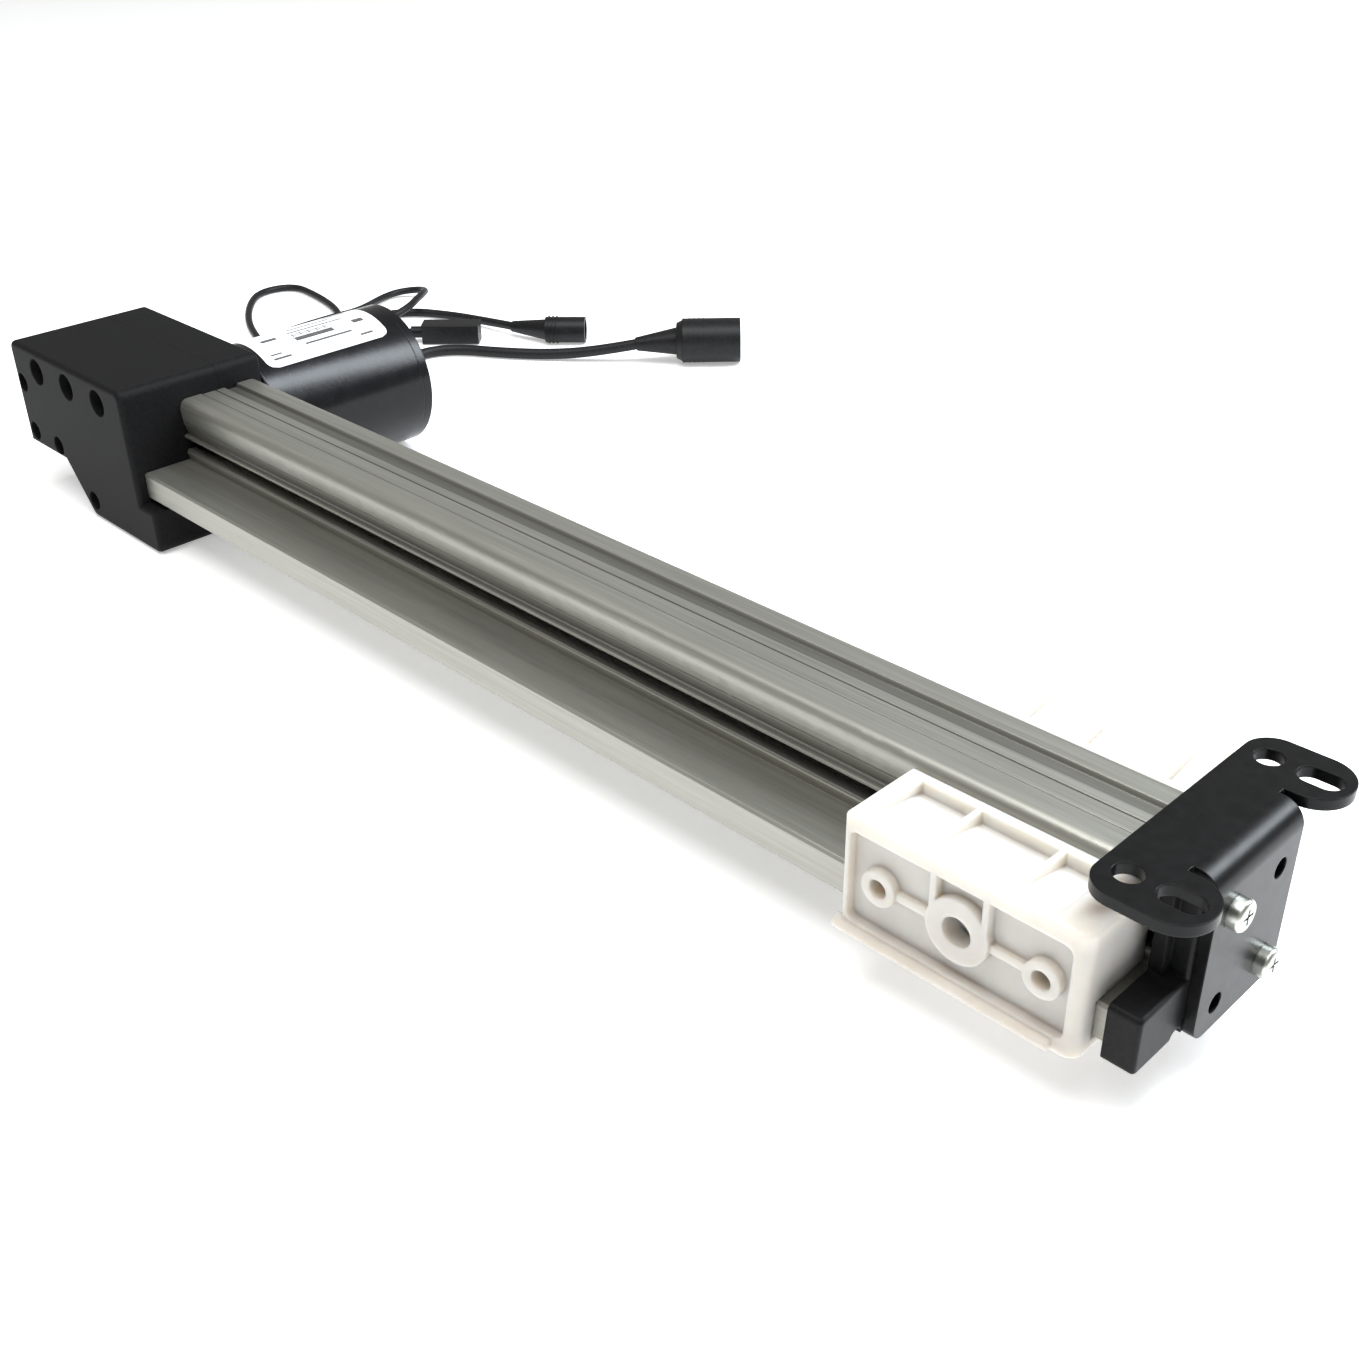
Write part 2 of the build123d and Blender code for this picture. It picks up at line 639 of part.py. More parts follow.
with BuildPart() as slider_half:
    with BuildSketch(across(slider_left)):
        Polygon((0, slider_bottom), (slider_half_width, slider_bottom),
                (slider_half_width, slider_top), (block_inner, slider_top),
                (block_inner, block_bottom), (cheek_inner, block_bottom),
                (cheek_inner, base_top), (0, base_top), align=None)
    extrude(amount=slider_right - slider_left)
    # Rounded corners in plan.
    with BuildSketch(Plane.XY.offset(slider_bottom)):
        with Locations(((slider_left + slider_right) / 2, 0)):
            Rectangle(slider_right - slider_left, 2 * slider_half_width)
        fillet(vertices().group_by(Axis.X)[-1], 3.5)
        fillet(vertices().group_by(Axis.X)[0], 1.2)
    extrude(amount=slider_top - slider_bottom, mode=Mode.INTERSECT)
    top_face = slider_half.faces().sort_by(Axis.Z)[-1]
    top_rim = [edge for edge in top_face.edges() if edge.center().Y > block_inner + 0.1]
    fillet(top_rim, 1.3)
    # Shallow wedge pockets in the top, deepest beside the rail.
    for left, right in zip(pocket_edges[:-1], pocket_edges[1:]):
        with BuildSketch(across(left + rib_width / 2)):
            Polygon((pocket_inner, pocket_floor), (pocket_outer, slider_top),
                    (pocket_outer, slider_top + 1), (pocket_inner, slider_top + 1), align=None)
        extrude(amount=right - left - rib_width, mode=Mode.SUBTRACT)
    # Recessed side with its bosses and ribs.
    side_plane = Plane.XZ.offset(-slider_half_width)
    with BuildSketch(side_plane):
        with Locations(((recess_x[0] + recess_x[1]) / 2, (recess_z[0] + recess_z[1]) / 2)):
            RectangleRounded(recess_x[1] - recess_x[0], recess_z[1] - recess_z[0], 2.5)
        with Locations((pivot_x, pivot_z)):
            Circle(pivot_boss_radius, mode=Mode.SUBTRACT)
            with Locations((-7.2, 8.0), (7.2, 8.0)):
                Rectangle(1.5, 12.0, mode=Mode.SUBTRACT)
        with Locations(*[(x, small_boss_z) for x in small_boss_x]):
            Circle(small_boss_radius, mode=Mode.SUBTRACT)
    extrude(amount=recess_side_depth, mode=Mode.SUBTRACT)
    with BuildSketch(Plane.XZ.offset(recess_side_depth - slider_half_width)):
        with Locations((pivot_x, small_boss_z)):
            Rectangle(side_hole_spacing, 1.8)
    extrude(amount=-(recess_side_depth - 0.8))
    with BuildSketch(side_plane):
        with Locations((pivot_x, pivot_z)):
            Circle(pivot_bore_radius)
        with Locations(*[(x, small_boss_z) for x in small_boss_x]):
            Circle(small_hole_radius)
    extrude(amount=6.0, mode=Mode.SUBTRACT)
    # Flared lip along the bottom edge and two ribs under the base.
    with BuildSketch(across(slider_left - 1.2)):
        Polygon((slider_half_width - 1, slider_bottom),
                (slider_half_width + lip_flare, slider_bottom + 0.6),
                (slider_half_width + lip_flare, lip_top - 1.4),
                (slider_half_width - 1, lip_top), align=None)
    extrude(amount=slider_right - slider_left - 5.0)
    with BuildSketch(Plane.XY.offset(slider_bottom - 1.0)):
        with Locations((368.0, slider_half_width / 2), (391.0, slider_half_width / 2)):
            Rectangle(1.6, slider_half_width)
    extrude(amount=1.2)

web_z = (groove_low + 0.5, groove_high - 0.5)
nut_x = (358.0, 398.0)
nut_half_width = 11.5
nut_bottom = channel_floor + 1.5
nut_shoulder_z = 43.0
nut_top = 50.2
nut_radius = 7.3
nut_pin_radius = 1.5
nut_pin_z = 35.6
nut_pin_x = (364.0, 392.0)
nut_pin_reach = -14.0

with BuildPart() as slider:
    add(slider_half.part)
    mirror(about=Plane.XZ)
    # Web that reaches through the rail's near slot to the nut.
    with BuildSketch(Plane.XY.offset(web_z[0])):
        with Locations(((nut_x[0] + nut_x[1]) / 2, -(nut_half_width + block_inner + 1.0) / 2)):
            Rectangle(nut_x[1] - nut_x[0], block_inner + 1.0 - nut_half_width)
    extrude(amount=web_z[1] - web_z[0])
    with BuildSketch(Plane.XZ.offset(-nut_pin_reach + 10)):
        with Locations(*[(x, nut_pin_z) for x in nut_pin_x]):
            Circle(nut_pin_radius)
    extrude(amount=-20, mode=Mode.SUBTRACT)
save(slider.part, "slider")

with BuildPart() as spindle_nut:
    with BuildSketch(across(nut_x[0])):
        with Locations(spindle_centre):
            Circle(nut_radius)
        with Locations((0, (nut_bottom + nut_shoulder_z) / 2)):
            Rectangle(2 * nut_half_width, nut_shoulder_z - nut_bottom)
        with Locations((0, nut_top + 5)):
            Rectangle(30, 10, mode=Mode.SUBTRACT)
        with Locations(spindle_centre):
            Circle(spindle_radius + fit_gap, mode=Mode.SUBTRACT)
    extrude(amount=nut_x[1] - nut_x[0])
    with BuildSketch(Plane.XZ.offset(nut_half_width + 0.1)):
        with Locations(*[(x, nut_pin_z) for x in nut_pin_x]):
            Circle(nut_pin_radius)
    extrude(amount=-5.0, mode=Mode.SUBTRACT)
save(spindle_nut.part, "spindle_nut")

with BuildPart() as nut_pins:
    with BuildSketch(Plane.XZ.offset(nut_half_width - 4.5)):
        with Locations(*[(x, nut_pin_z) for x in nut_pin_x]):
            Circle(nut_pin_radius)
    extrude(amount=10.5)
save(nut_pins.part, "nut_pins")

# ---------------------------------------------------------------- end cap and bracket
cap_back = rail_end
column_half_width = 19.5
shoulder_half_width = 22.5
foot_reach = 38.1
foot_z = (16.5, 32.4)
cap_top = bracket_top - sheet
bracket_half_width = 39.3
bracket_back = 405.6
wing_front = 432.9
notch_root = 421.0
notch_outer = 20.7
wing_root_radius = 7.5
wing_end_radius = 9.2
tab_half_width = 18.5
tab_bottom = 14.3
screw_clearance = 2.7
bracket_screw_radius = 2.05

with BuildPart() as end_cap:
    with BuildSketch(across(cap_back)):
        with Locations((0, (foot_z[0] + cap_top) / 2)):
            Rectangle(2 * column_half_width, cap_top - foot_z[0])
        # A single foot, under the near flange.
        with Locations(((shoulder_half_width - foot_reach) / 2, sum(foot_z) / 2)):
            Rectangle(shoulder_half_width + foot_reach, foot_z[1] - foot_z[0])
        with Locations((-column_half_width - 1.5, foot_z[0])):
            Circle(2.5, mode=Mode.SUBTRACT)
    extrude(amount=cap_front - cap_back)
    fillet(end_cap.edges().filter_by(Axis.X).group_by(Axis.Y)[0], 1.5)
    fillet(end_cap.faces().sort_by(Axis.X)[-1].edges().filter_by(Axis.Z), 1.0)
    with BuildSketch(across(cap_back)):
        with Locations((0, (foot_z[1] + cap_top - 1.0) / 2 - 2)):
            Rectangle(2 * shoulder_half_width, cap_top - foot_z[1] + 3)
    extrude(amount=3.3)
    with BuildSketch(across(cap_back)):
        with Locations(*screw_places):
            Circle(screw_clearance)
    extrude(amount=cap_front - cap_back, mode=Mode.SUBTRACT)
    with BuildSketch(across(cap_back)):
        with Locations(spindle_centre):
            Circle(end_bush_radius)
    extrude(amount=end_bush_x[1] - cap_back, mode=Mode.SUBTRACT)
save(end_cap.part, "end_cap")

with BuildPart() as end_bracket:
    with BuildSketch(Plane.XZ):
        Polygon((bracket_back, bracket_top), (cap_front + sheet, bracket_top),
                (cap_front + sheet, tab_bottom), (cap_front, tab_bottom),
                (cap_front, bracket_top - sheet), (bracket_back, bracket_top - sheet), align=None)
    extrude(amount=tab_half_width, both=True)
    bends = end_bracket.edges().filter_by(Axis.Y)
    fillet(bends.group_by(Axis.Z)[-1].sort_by(Axis.X)[-1], 6.0)
    fillet(end_bracket.edges().filter_by(Axis.X).group_by(Axis.Z)[0], 5.0)
    with BuildSketch(Plane.XY.offset(bracket_top - sheet)):
        with Locations(((bracket_back + wing_front) / 2, 0)):
            Rectangle(wing_front - bracket_back, 2 * bracket_half_width)
        with Locations(((notch_root + wing_front) / 2 + 5, 0)):
            Rectangle(wing_front - notch_root + 10, 2 * notch_outer, mode=Mode.SUBTRACT)
        fillet(vertices().group_by(Axis.X)[0], wing_root_radius)
        fillet(vertices().group_by(Axis.X)[-1], wing_end_radius)
        with Locations((bracket_hole_x, bracket_hole_y), (bracket_hole_x, -bracket_hole_y)):
            Circle(bracket_hole_radius, mode=Mode.SUBTRACT)
        with Locations((slot_x, bracket_hole_y), (slot_x, -bracket_hole_y)):
            SlotOverall(slot_length, 7.0, mode=Mode.SUBTRACT)
    extrude(amount=sheet)
    with BuildSketch(across(cap_front)):
        with Locations(*screw_places):
            Circle(screw_clearance)
    extrude(amount=sheet, mode=Mode.SUBTRACT)
save(end_bracket.part, "end_bracket")

bracket_screw = screw(4.0, 3.4, bracket_screw_radius, 26.0)
with BuildPart() as bracket_screws:
    seat = across(cap_front + sheet)
    with Locations(seat * Location((-screw_y, screw_z_high, 0)),
                   seat * Location((screw_y, screw_z_low, 0))):
        add(bracket_screw)
save(bracket_screws.part, "bracket_screws")

# ---------------------------------------------------------------- electrics
switch_x = (50.0, 406.0)
with BuildPart() as limit_switch_board:
    with BuildSketch(Plane.XY.offset(channel_floor)):
        with Locations((210.0, 7.0)):
            Rectangle(404.0, 10.0)
    extrude(amount=1.0)
save(limit_switch_board.part, "limit_switch_board")

with BuildPart() as limit_switches:
    with BuildSketch(Plane.XY.offset(channel_floor + 1.0)):
        with Locations(*[(x, 6.5) for x in switch_x]):
            Rectangle(8.0, 5.0)
    extrude(amount=5.0)
    with BuildSketch(Plane.XY.offset(channel_floor + 4.0)):
        with Locations((switch_x[0] + 5.0, 6.5), (switch_x[1] - 5.0, 6.5)):
            Rectangle(2.0, 1.6)
    extrude(amount=1.5)
save(limit_switches.part, "limit_switches")

with BuildPart() as terminal_board:
    with BuildSketch(Plane.XZ.offset(-board_y[1])):
        with Locations((-61.5, 40.6)):
            Rectangle(23.0, 12.0)
    extrude(amount=board_y[1] - board_y[0])
    with BuildSketch(Plane.XZ.offset(-board_y[1])):
        with Locations((-61.5, 40.6)):
            Rectangle(15.0, 6.0)
    extrude(amount=-5.0)
save(terminal_board.part, "terminal_board")

# ---------------------------------------------------------------- cables
boot_face = 34.0
link_diameter = 3.6
handset_diameter = 4.2
supply_diameter = 5.2
link_z = link_diameter / 2
handset_z = handset_diameter / 2
supply_z = supply_diameter / 2

link_route = [
    (cable_exit_x["link"], boot_face, cable_exit_z),
    (cable_exit_x["link"], 47.0, cable_exit_z),
    (-81.5, 64.0, 28.0),
    (-86.0, 82.0, 14.5),
    (-96.0, 98.0, link_z),
    (-122.0, 107.5, link_z),
    (-150.0, 110.0, link_z),
    (-176.0, 118.0, link_z),
    (-201.0, 128.0, link_z),
    (-226.0, 144.0, link_z),
    (-243.0, 161.0, link_z),
    (-238.0, 180.5, link_z),
    (-215.0, 179.0, link_z),
    (-192.0, 174.5, link_z),
    (-176.0, 168.0, link_z),
    (-158.0, 157.0, link_z),
    (-146.5, 144.0, link_z),
    (-143.5, 130.5, link_z),
    (-150.5, 120.5, link_z),
    (-162.5, 120.0, 2.2),
    (-170.0, 129.0, 3.0),
    (-169.0, 142.0, 4.2),
    (-162.0, 154.0, 7.0),
    (-160.5, 167.0, 7.2),
    (-167.5, 179.0, 5.4),
    (-176.5, 190.5, 3.2),
    (-183.0, 202.0, 2.2),
    (-183.5, 212.0, 2.6),
    (-176.0, 219.0, 3.8),
    (-165.5, 217.0, 6.0),
    (-156.0, 209.0, 8.6),
    (-147.5, 199.0, 10.0),
    (-140.5, 188.0, 9.2),
    (-139.5, 175.5, 6.8),
    (-138.0, 162.5, 5.2),
    (-129.5, 160.8, 5.0),
    (-117.6, 172.0, 5.0),
]
handset_route = [
    (cable_exit_x["handset"], boot_face, cable_exit_z),
    (cable_exit_x["handset"], 48.0, cable_exit_z),
    (-71.0, 66.0, 27.0),
    (-75.5, 84.0, 13.5),
    (-83.5, 102.0, handset_z),
    (-100.0, 129.0, handset_z),
    (-124.0, 146.0, handset_z),
    (-146.0, 160.0, handset_z),
    (-160.0, 177.0, handset_z),
    (-152.0, 197.0, handset_z),
    (-131.0, 207.5, handset_z),
    (-108.0, 211.5, 3.2),
    (-87.0, 213.4, 4.6),
]
supply_route = [
    (cable_exit_x["supply"], boot_face, cable_exit_z),
    (cable_exit_x["supply"], 49.0, cable_exit_z),
    (-60.0, 68.0, 26.0),
    (-64.5, 88.0, 12.5),
    (-70.5, 108.0, supply_z),
    (-78.0, 133.0, supply_z),
    (-89.0, 146.0, supply_z),
    (-94.0, 161.0, supply_z),
    (-86.0, 176.0, supply_z),
    (-66.0, 187.0, supply_z),
    (-46.0, 201.5, supply_z),
    (-28.0, 216.0, 4.6),
    (-12.0, 229.0, 8.8),
]


def bend_radii(route):
    """Largest comfortable arc at each inner point of a route."""
    runs = [Vector(*end) - Vector(*start) for start, end in zip(route, route[1:])]
    radii = []
    for before, after in zip(runs, runs[1:]):
        half_turn = math.radians(before.get_angle(after)) / 2
        radii.append(0.45 * min(before.length, after.length) / math.tan(half_turn))
    return radii


def cable(route, diameter):
    """Round cable along straight runs joined by tangent arcs."""
    radii = bend_radii(route)
    print("cable of", diameter, "mm, bend radii", [round(radius, 1) for radius in radii])
    with BuildPart() as body:
        with BuildLine() as path:
            FilletPolyline(*route, radius=radii)
        with BuildSketch(Plane(origin=route[0], z_dir=Vector(*route[1]) - Vector(*route[0]))):
            Circle(diameter / 2)
        sweep(path=path.wires()[0])
    return body.part


def heading(start, end):
    """Unit direction from one point to another."""
    return (Vector(*end) - Vector(*start)).normalized()


save(cable(link_route, link_diameter), "link_cable")
save(cable(handset_route, handset_diameter), "handset_cable")
save(cable(supply_route, supply_diameter), "supply_cable")

cable_radius = {"link": link_diameter / 2, "handset": handset_diameter / 2,
                "supply": supply_diameter / 2}
with BuildPart() as cable_boots:
    for name, x in cable_exit_x.items():
        with BuildSketch(Plane.XZ.offset(housing_wall - housing_far)):
            with Locations((x, cable_exit_z)):
                Circle(boot_root_radius)
        extrude(amount=-housing_wall)
        with BuildSketch(Plane.XZ.offset(-housing_far)):
            with Locations((x, cable_exit_z)):
                Circle(4.6)
        extrude(amount=-2.0)
        with BuildSketch(Plane.XZ.offset(-housing_far - 2.0)):
            with Locations((x, cable_exit_z)):
                Circle(cable_radius[name] + 1.5)
        with BuildSketch(Plane.XZ.offset(-boot_face)):
            with Locations((x, cable_exit_z)):
                Circle(cable_radius[name] + 0.7)
        loft()
save(cable_boots.part, "cable_boots")

plug_start = link_route[-1]
plug_heading = heading(link_route[-2], plug_start)
plug_size = (28.6, 10.5, 10.0)
stub_length = 6.0
with BuildPart() as inline_plug:
    stub_plane = Plane(origin=plug_start, x_dir=(0, 0, 1), z_dir=plug_heading)
    with BuildSketch(stub_plane):
        Circle(2.9)
    extrude(amount=stub_length)
    with BuildSketch(stub_plane.offset(stub_length)):
        RectangleRounded(plug_size[2], plug_size[1], 1.0)
    extrude(amount=plug_size[0])
save(inline_plug.part, "inline_plug")

socket_start = handset_route[-1]
socket_shoulder = (-66.6, 217.8, 6.4)
socket_heading = (0.74, 0.673, 0)
socket_radius = 6.35
socket_length = 20.0
with BuildPart() as handset_socket:
    with BuildSketch(Plane(origin=socket_start, z_dir=heading(handset_route[-2], socket_start))):
        Circle(handset_diameter / 2 + 0.7)
    with BuildSketch(Plane(origin=socket_shoulder, z_dir=socket_heading)):
        Circle(socket_radius - 1.2)
    loft()
    body_plane = Plane(origin=socket_shoulder, z_dir=socket_heading)
    with BuildSketch(body_plane):
        Circle(socket_radius)
    extrude(amount=socket_length)
    with BuildSketch(body_plane.offset(socket_length)):
        Circle(socket_radius - 1.6)
    extrude(amount=-11.0, mode=Mode.SUBTRACT)
save(handset_socket.part, "handset_socket")

supply_start = supply_route[-1]
supply_shoulder = (4.4, 244.0, 10.6)
supply_heading = (0.707, 0.707, 0)
supply_radius = 10.5
supply_length = 28.0
with BuildPart() as supply_plug:
    with BuildSketch(Plane(origin=supply_start, z_dir=heading(supply_route[-2], supply_start))):
        Circle(supply_diameter / 2 + 0.7)
    with BuildSketch(Plane(origin=supply_shoulder, z_dir=supply_heading)):
        Circle(supply_radius - 3.5)
    loft()
    with BuildSketch(Plane(origin=supply_shoulder, z_dir=supply_heading)):
        Circle(supply_radius)
    extrude(amount=supply_length)
save(supply_plug.part, "supply_plug")
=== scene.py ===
import json
import math

import bpy
from mathutils import Matrix, Vector


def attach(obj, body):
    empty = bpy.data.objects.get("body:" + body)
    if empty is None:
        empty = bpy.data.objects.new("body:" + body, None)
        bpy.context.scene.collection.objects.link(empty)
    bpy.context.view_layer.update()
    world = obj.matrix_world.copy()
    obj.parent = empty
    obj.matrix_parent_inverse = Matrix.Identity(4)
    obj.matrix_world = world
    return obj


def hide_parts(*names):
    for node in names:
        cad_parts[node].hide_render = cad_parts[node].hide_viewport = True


# Looks of a linear actuator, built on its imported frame: +X along the rail, +Z up.
# The scene is in metres. Routes, profiles and plug places are in mm and are scaled by MM.

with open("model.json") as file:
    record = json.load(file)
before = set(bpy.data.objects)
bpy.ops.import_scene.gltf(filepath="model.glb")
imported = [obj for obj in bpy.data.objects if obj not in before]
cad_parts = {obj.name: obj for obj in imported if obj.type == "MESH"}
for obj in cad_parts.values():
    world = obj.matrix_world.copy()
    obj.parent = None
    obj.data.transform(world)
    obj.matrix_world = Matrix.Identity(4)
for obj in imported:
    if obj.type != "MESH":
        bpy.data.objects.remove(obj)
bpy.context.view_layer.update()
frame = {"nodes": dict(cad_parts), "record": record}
MM = 0.001


# ---------------------------------------------------------------- camera, floor and light
def look_at(place, target, roll=0.0):
    """World matrix of something at place that looks along -Z towards target."""
    back = (Vector(place) - Vector(target)).normalized()
    right = Vector((0, 0, 1)).cross(back).normalized()
    basis = Matrix((right, back.cross(right), back)).transposed()
    return Matrix.Translation(place) @ basis.to_4x4() @ Matrix.Rotation(math.radians(roll), 4, "Z")


def add_camera():
    place, target, roll = (0.53636, -0.28006, 0.26859), (0.25237, -0.00371, 0.030), -1.125
    camera = bpy.data.cameras.new("camera")
    camera.lens = 42.26
    camera.sensor_width = 36.0
    camera.clip_start = 0.01
    holder = bpy.data.objects.new("camera", camera)
    bpy.context.scene.collection.objects.link(holder)
    holder.matrix_world = look_at(place, target, roll)
    bpy.context.scene.camera = holder


def add_softbox(name, place, target, size, power, tint=(1, 1, 1)):
    lamp = bpy.data.lights.new(name, "AREA")
    lamp.shape = "RECTANGLE"
    lamp.size, lamp.size_y = size
    lamp.energy = power
    lamp.color = tint
    holder = bpy.data.objects.new(name, lamp)
    bpy.context.scene.collection.objects.link(holder)
    holder.matrix_world = look_at(place, target)


def add_studio():
    bpy.context.scene.view_settings.view_transform = "Standard"
    world = bpy.data.worlds.new("studio")
    bpy.context.scene.world = world
    world.use_nodes = True
    background = world.node_tree.nodes["Background"]
    background.inputs["Color"].default_value = (1.0, 0.99, 0.97, 1)
    background.inputs["Strength"].default_value = 0.4
    motor, rail_middle = (-0.02, 0.055, 0.03), (0.25, 0.0, 0.0)
    add_softbox("far_window", (0.61, 0.65, 0.88), motor, size=(0.24, 1.1), power=19.0,
                tint=(0.86, 0.93, 1.0))
    add_softbox("overhead", (0.25, -0.25, 1.3), rail_middle, size=(0.9, 0.9), power=15.0)


def add_floor():
    mesh = bpy.data.meshes.new("floor")
    half, gap = 12.0, 0.0003
    outline = ((-half, -half), (half, -half), (half, half), (-half, half))
    corners = [(x, y, -gap) for x, y in outline]
    mesh.from_pydata(corners, [], [(0, 1, 2, 3)])
    floor = bpy.data.objects.new("floor", mesh)
    bpy.context.scene.collection.objects.link(floor)
    mesh.materials.append(surface("floor_paper", (0.93, 0.93, 0.93), (0.97, 0.97, 0.97),
                                  grain=40, roughness=(0.85, 0.95), relief=0.0, edge=0.0,
                                  Emission_Color=(1, 1, 1, 1), Emission_Strength=0.36))


# ---------------------------------------------------------------- materials
def surface(name, dark, light, grain=600.0, stretch=(1, 1, 1), roughness=(0.4, 0.5),
            relief=0.1, depth=0.00005, fine=0.0, edge=0.0004, **sockets):
    """A material whose colour and gloss wander between two values with a fine relief.

    grain is in cycles per metre, stretch scales it along each axis, fine adds a second,
    much smaller relief, edge is the radius in metres that the shader softens edges to, and
    the rest are values of the shader's own sockets."""
    material = bpy.data.materials.new(name)
    material.use_nodes = True
    nodes = material.node_tree.nodes
    link = material.node_tree.links.new
    shader = nodes["Principled BSDF"]
    for socket, value in sockets.items():
        shader.inputs[socket.replace("_", " ")].default_value = value
    place = nodes.new("ShaderNodeTexCoord")
    scaled = nodes.new("ShaderNodeMapping")
    scaled.inputs["Scale"].default_value = stretch
    link(place.outputs["Object"], scaled.inputs["Vector"])
    noise = nodes.new("ShaderNodeTexNoise")
    noise.inputs["Scale"].default_value = grain
    noise.inputs["Detail"].default_value = 6.0
    noise.inputs["Roughness"].default_value = 0.65
    link(scaled.outputs["Vector"], noise.inputs["Vector"])
    colours = nodes.new("ShaderNodeValToRGB")
    colours.color_ramp.elements[0].position = 0.3
    colours.color_ramp.elements[0].color = (*dark, 1)
    colours.color_ramp.elements[1].position = 0.7
    colours.color_ramp.elements[1].color = (*light, 1)
    link(noise.outputs["Fac"], colours.inputs["Fac"])
    link(colours.outputs["Color"], shader.inputs["Base Color"])
    gloss = nodes.new("ShaderNodeMapRange")
    gloss.inputs["To Min"].default_value = roughness[0]
    gloss.inputs["To Max"].default_value = roughness[1]
    link(noise.outputs["Fac"], gloss.inputs["Value"])
    link(gloss.outputs["Result"], shader.inputs["Roughness"])
    normal = None
    if edge:
        rounding = nodes.new("ShaderNodeBevel")
        rounding.samples = 4
        rounding.inputs["Radius"].default_value = edge
        normal = rounding.outputs["Normal"]
    if relief:
        normal = add_relief(material, noise.outputs["Fac"], relief, depth, normal)
    if fine:
        pores = nodes.new("ShaderNodeTexNoise")
        pores.inputs["Scale"].default_value = grain * 6
        pores.inputs["Detail"].default_value = 2.0
        link(place.outputs["Object"], pores.inputs["Vector"])
        normal = add_relief(material, pores.outputs["Fac"], fine, depth, normal)
    if normal:
        link(normal, shader.inputs["Normal"])
    return material


def add_painted_shade(material, axis, reach, stops):
    """Paint shade into a material's colour in bands; stops are (place in mm, tone) along one
    object axis.
    """
    nodes = material.node_tree.nodes
    link = material.node_tree.links.new
    base = nodes["Principled BSDF"].inputs["Base Color"]
    place = nodes.new("ShaderNodeTexCoord")
    parts = nodes.new("ShaderNodeSeparateXYZ")
    link(place.outputs["Object"], parts.inputs["Vector"])
    along = nodes.new("ShaderNodeMapRange")
    along.inputs["From Min"].default_value = reach[0] * MM
    along.inputs["From Max"].default_value = reach[1] * MM
    link(parts.outputs[axis], along.inputs["Value"])
    bands = nodes.new("ShaderNodeValToRGB")
    elements = bands.color_ramp.elements
    while len(elements) < len(stops):
        elements.new(0.5)
    for element, (spot, tone) in zip(elements, stops):
        element.position = (spot - reach[0]) / (reach[1] - reach[0])
        element.color = (tone, tone, tone, 1)
    link(along.outputs["Result"], bands.inputs["Fac"])
    mix = nodes.new("ShaderNodeMix")
    mix.data_type = "RGBA"
    mix.blend_type = "MULTIPLY"
    mix.inputs["Factor"].default_value = 1.0
    link(base.links[0].from_socket, mix.inputs["A"])
    link(bands.outputs["Color"], mix.inputs["B"])
    link(mix.outputs["Result"], base)


def add_relief(material, height, strength, depth, below=None):
    """Bump node on a height output, stacked on the relief below it."""
    bump = material.node_tree.nodes.new("ShaderNodeBump")
    bump.inputs["Strength"].default_value = strength
    bump.inputs["Distance"].default_value = depth
    material.node_tree.links.new(height, bump.inputs["Height"])
    if below:
        material.node_tree.links.new(below, bump.inputs["Normal"])
    return bump.outputs["Normal"]


